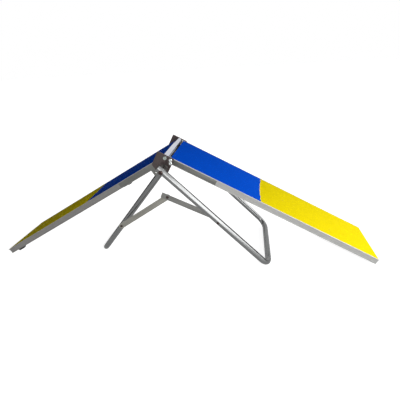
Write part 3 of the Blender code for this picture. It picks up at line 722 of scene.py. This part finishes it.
def covering(name, out, border):
    """Granule covering of one half, blue up to the border's distance from the axle and yellow beyond it."""
    look = bpy.data.materials.new(name)
    look.use_nodes = True
    tree = look.node_tree
    shader = tree.nodes["Principled BSDF"]
    start = add(tree, "TexCoord").outputs["Object"]
    moved = add(tree, "VectorMath", {"operation": "SUBTRACT"}, {0: start, 1: axle}).outputs[0]
    place = add(tree, "Mapping", None, {"Vector": moved, "Rotation": (0, -out * plank_slope, 0)}).outputs[0]
    finish = add(tree, "Group", {"node_tree": granules}, {"Vector": place, "Roughness": 0.72})
    local = add(tree, "SeparateXYZ", None, {0: place})
    along = number(tree, "MULTIPLY", local.outputs[0], out)
    width = number(tree, "DIVIDE", local.outputs[1], covering_half_width)
    near, far, bow = border
    middle = number(tree, "MULTIPLY_ADD", width, (far - near) / 2, (far + near) / 2 + bow)
    bowed = number(tree, "MULTIPLY_ADD", number(tree, "MULTIPLY", width, width), -bow, middle)
    wander = add(tree, "TexNoise", None, {"Vector": place, "Scale": wander_scale, "Detail": 3.0}).outputs[0]
    strayed = number(tree, "MULTIPLY_ADD", number(tree, "SUBTRACT", wander, 0.5), wander_reach, along)
    strayed = number(tree, "MULTIPLY_ADD", finish.outputs["Scatter"], scatter_reach, strayed)
    mask = number(tree, "GREATER_THAN", strayed, bowed)
    colour = add(tree, "Mix", {"data_type": "RGBA"}, {0: mask, 6: sprayed_blue, 7: sprayed_yellow})
    toned = add(tree, "HueSaturation", None, {
        "Value": finish.outputs["Shade"], "Color": colour.outputs[2],
    })
    bump = add(tree, "Bump", None, {
        "Height": finish.outputs["Height"], "Distance": granule_height, "Strength": 0.8,
    })
    tree.links.new(toned.outputs[0], shader.inputs["Base Color"])
    tree.links.new(finish.outputs["Roughness"], shader.inputs["Roughness"])
    tree.links.new(bump.outputs[0], shader.inputs["Normal"])
    shader.inputs["Specular IOR Level"].default_value = 0.02
    return look


for half, out in halves.items():
    for colour in ("blue", "yellow"):
        look = covering(half + "_" + colour + "_granules", out, colour_borders[half])
        rounded(half + "_mat_" + colour, look, covering_edge)


# Reinforcement straps
# Dull dark aluminium flats that lie in the rails' recess on both sides of the hinge.
# The left ones end in an eye on the axle bolt and have a bracket below the rail.
# The right ones are clamped under the side plates.
strap_edge = 0.0004
strap_grey = (0.170, 0.172, 0.162, 1)
for half, out in halves.items():
    strap_look = metal(
        half + "_strap_metal", strap_grey, 0.46, turn=(0, -out * plank_slope, 0),
        lines=0.5, stains=0.45,
    )
    for side_name in sides:
        rounded(half + "_strap_" + side_name, strap_look, strap_edge)


# Plate bolts
# Bright zinc-plated hexagon bolts with wide washers, two on each side plate.
# They hold the plate, the strap and the rail together.
plate_bolt_head = (0.0085, 0.004)
plate_bolt_shank = 0.0025
plate_bolt_threaded = 0.004
plate_washer = (0.010, 0.002)
for place_name in ("lower", "upper"):
    for side_name in sides:
        hexagon_bolt("plate_bolt_" + place_name + "_" + side_name, zinc_plated, *plate_bolt_head,
                     plate_bolt_shank, plate_washer, plate_bolt_threaded)


# Pads and lugs under the left half
# Moulded black rubber wedges under the rails near their end, and small stepped aluminium lugs.
# Both sit against the underside of the rails.
pad_edge = 0.0009
lug_edge = 0.0004
pad_black = (0.007, 0.007, 0.008, 1)
lug_grey = (0.085, 0.085, 0.080, 1)
black_rubber = coated("black_rubber", pad_black, 0.75, scale=500.0, depth=0.0001, specular=0.08)
lug_metal = metal("lug_metal", lug_grey, 0.48, turn=(0, plank_slope, 0), lines=0.3, stains=0.4)
for side_name in sides:
    rounded("left_pad_" + side_name, black_rubber, pad_edge, steps=3)
    rounded("left_lug_" + side_name, lug_metal, lug_edge)


# Folding brace
# Two galvanised flat bars, sheared from strip and hinged at a knee, keep the two U tubes apart.
# Each end turns on a pin through one tube, the left one on a long spacer.
bar_edge = 0.0005
left_bar_slope = radians(32.7)
right_bar_slope = radians(-26.0)
# The left bar's lighter grey is painted light and the right bar's darker grey is painted shade, on the same
# galvanised steel.
left_bar_painted_lit_grey = (0.29, 0.285, 0.255, 1)
right_bar_painted_shade_grey = (0.22, 0.22, 0.21, 1)
for node, colour, turn in (
    ("brace_bar_left", left_bar_painted_lit_grey, left_bar_slope),
    ("brace_bar_right", right_bar_painted_shade_grey, right_bar_slope),
):
    bar_look = metal(node + "_galvanised", colour, 0.44, turn=(0, turn, 0), lines=0.35, stains=0.55)
    rounded(node, bar_look, bar_edge)

# Pins: head radius and height, socket, and length of thread
pin_shank = 0.004
for node, head_radius, head_height, socket, threaded in (
    ("brace_pin_left", 0.008, 0.0032, 0.0030, 0.008),
    ("brace_pin_right", 0.008, 0.006, 0.0036, 0.004),
    ("knee_bolt", 0.009, 0.0032, 0.0032, 0.002),
):
    socket_bolt(node, browned, head_radius, head_height, pin_shank, socket, threaded)
knee_nut_edge = 0.0004
brace_spacer_radius = 0.008
brace_nut_corners = 0.0085
brace_washer_radius = 0.0065
brace_washer_chamfer = 0.0003
pin_hole = pin_shank + hole_gap
rounded("knee_nut", zinc_plated, knee_nut_edge)
turned_ring("brace_spacer_left", zinc_plated, pin_hole, brace_spacer_radius)
hexagon_nut("brace_nut_left", zinc_plated, pin_hole, brace_nut_corners)
turned_ring("brace_washer_right", zinc_plated, pin_hole, brace_washer_radius, brace_washer_chamfer)


# Studio
# A plain pale floor, a large soft lamp on the right, a smaller one in front, and an even pale surround.
# Floor and surround show white behind the object. Its metal mirrors a white surround and a pale grey floor.
floor_size = 60.0
floor_pale = (0.80, 0.80, 0.80, 1)
floor_lift = 0.87
floor_lift_in_gloss = 0.45
surround_strength = 0.11


def shown(tree, straight, in_gloss):
    """Brightness for what the camera sees straight on or through glass, and for what it sees in gloss."""
    path = add(tree, "LightPath")
    seen = number(tree, "MAXIMUM", path.outputs["Is Camera Ray"], path.outputs["Is Transmission Ray"])
    mirrored = number(tree, "MULTIPLY", path.outputs["Is Glossy Ray"], in_gloss)
    return number(tree, "MAXIMUM", number(tree, "MULTIPLY", seen, straight), mirrored)


bm = bmesh.new()
bmesh.ops.create_grid(bm, x_segments=1, y_segments=1, size=floor_size / 2)
floor_mesh = bpy.data.meshes.new("floor")
bm.to_mesh(floor_mesh)
bm.free()
floor = bpy.data.objects.new("floor", floor_mesh)
bpy.context.scene.collection.objects.link(floor)
floor_look = bpy.data.materials.new("pale_floor")
floor_look.use_nodes = True
tree = floor_look.node_tree
shader = tree.nodes["Principled BSDF"]
shader.inputs["Base Color"].default_value = floor_pale
shader.inputs["Roughness"].default_value = 0.9
shader.inputs["Emission Color"].default_value = (1, 1, 1, 1)
tree.links.new(shown(tree, floor_lift, floor_lift_in_gloss), shader.inputs["Emission Strength"])
floor_mesh.materials.append(floor_look)

world = bpy.data.worlds.new("surround")
bpy.context.scene.world = world
world.use_nodes = True
tree = world.node_tree
strength = number(tree, "MAXIMUM", shown(tree, 1.0, 1.0), surround_strength)
tree.links.new(strength, tree.nodes["Background"].inputs["Strength"])
tree.nodes["Background"].inputs["Color"].default_value = (1, 1, 1, 1)


def soft_lamp(name, power, width, height, place, aim):
    """A rectangular lamp that faces a point and stays out of the picture."""
    lamp = bpy.data.lights.new(name, "AREA")
    lamp.shape = "RECTANGLE"
    lamp.size = width
    lamp.size_y = height
    lamp.energy = power
    item = bpy.data.objects.new(name, lamp)
    bpy.context.scene.collection.objects.link(item)
    item.location = place
    item.rotation_euler = (Vector(aim) - Vector(place)).to_track_quat("-Z", "Y").to_euler()
    item.visible_camera = False


soft_lamp(
    "right_lamp", power=600.0, width=12.5, height=3.6, place=(7.0, -0.3, 3.4), aim=(0.4, 0, 0.4),
)
soft_lamp(
    "front_lamp", power=180.0, width=4.8, height=2.9, place=(3.3, -6.0, 1.6), aim=(0.4, 0, 0.3),
)


# Camera
# It stands where the photograph was taken from, which was worked out from the object's edges and pins.
# It looks down a little, and the point straight ahead of its lens lies above the picture's middle.
camera_place = Vector((0.5069, -1.5848, 1.31359))
yaw = radians(-7.1052)
pitch = radians(19.7797)
roll = radians(3.4751)
# Focal length, picture size and the point that the lens looks straight at, in pixels
focal = 260.865
picture = 400
centre_x = 219.527
centre_y = 150.0
sensor_width = 36.0
forward = Vector((sin(yaw) * cos(pitch), cos(yaw) * cos(pitch), -sin(pitch)))
level = Vector((cos(yaw), -sin(yaw), 0))
below = forward.cross(level)
right = cos(roll) * level + sin(roll) * below
down = -sin(roll) * level + cos(roll) * below
lens = bpy.data.cameras.new("camera")
lens.sensor_width = sensor_width
lens.lens = sensor_width * focal / picture
lens.shift_x = (picture / 2 - centre_x) / picture
lens.shift_y = (centre_y - picture / 2) / picture
camera = bpy.data.objects.new("camera", lens)
bpy.context.scene.collection.objects.link(camera)
facing = Matrix((right, -down, -forward)).transposed().to_4x4()
camera.matrix_world = Matrix.Translation(camera_place) @ facing
bpy.context.scene.camera = camera
bpy.context.scene.view_settings.view_transform = "Standard"
